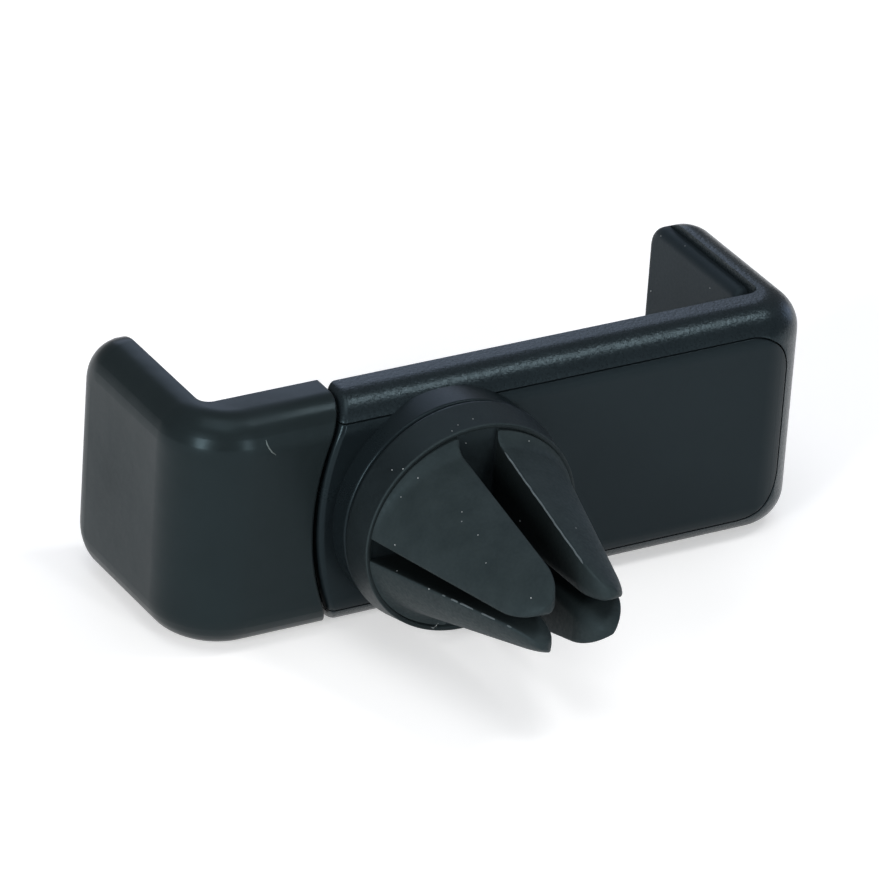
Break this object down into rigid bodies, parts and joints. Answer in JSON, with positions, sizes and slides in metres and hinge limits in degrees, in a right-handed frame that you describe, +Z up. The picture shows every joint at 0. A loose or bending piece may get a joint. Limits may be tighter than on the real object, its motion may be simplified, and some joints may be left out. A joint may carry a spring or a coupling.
{
  "type": "air vent phone holder",
  "caption": "Spring-closing phone holder for a car air vent: two padded jaws on a flat strip, with a swivelling rubber clip whose prongs grip the vent blades.",
  "frame": {"origin": "on the clip's swivel axis, in the plane that the phone's back lies on", "axes": "+X along the strip towards the fixed jaw, +Y out of the pad towards the phone, +Z up at mid-height of the strip"},
  "size_m": [0.0662, 0.0483, 0.0234],
  "materials": {
    "shell_abs": "fine-textured black ABS",
    "cover_abs": "smooth satin black ABS",
    "pad_tpe": "soft matte black",
    "clip_tpe": "matte black moulded rubber",
    "nylon": "dark nylon",
    "steel": "zinc plated"
  },
  "bodies": {
    "holder": {"body_frame": "shell_abs", "back_cover": "cover_abs", "front_pad": "pad_tpe", "fixed_jaw_pad": "pad_tpe", "frame_pin": "steel", "cover_screw_1": "steel", "cover_screw_2": "steel", "cover_screw_3": "steel", "cover_screw_4": "steel", "spring_upper": "steel", "spring_lower": "steel", "pivot_washer": "steel", "pivot_screw": "steel"},
    "jaw": {"sliding_jaw": "shell_abs", "sliding_jaw_pad": "pad_tpe", "slide_front_pad": "pad_tpe", "slide_pin": "steel"},
    "clip": {"clip_head": "clip_tpe", "clip_core": "nylon", "friction_washer": "nylon"}
  },
  "joints": [
    {"name": "jaw_slide", "type": "slide", "parent": "holder", "child": "jaw", "axis": [-1, 0, 0], "range_m": [0, 0.025], "stiffness_N_per_m": 320, "springref_m": -0.01875, "deforming": ["spring_upper", "spring_lower"]},
    {"name": "clip_swivel", "type": "hinge", "parent": "holder", "child": "clip", "pos_m": [0, 0, 0], "axis": [0, 1, 0], "continuous": true}
  ]
}
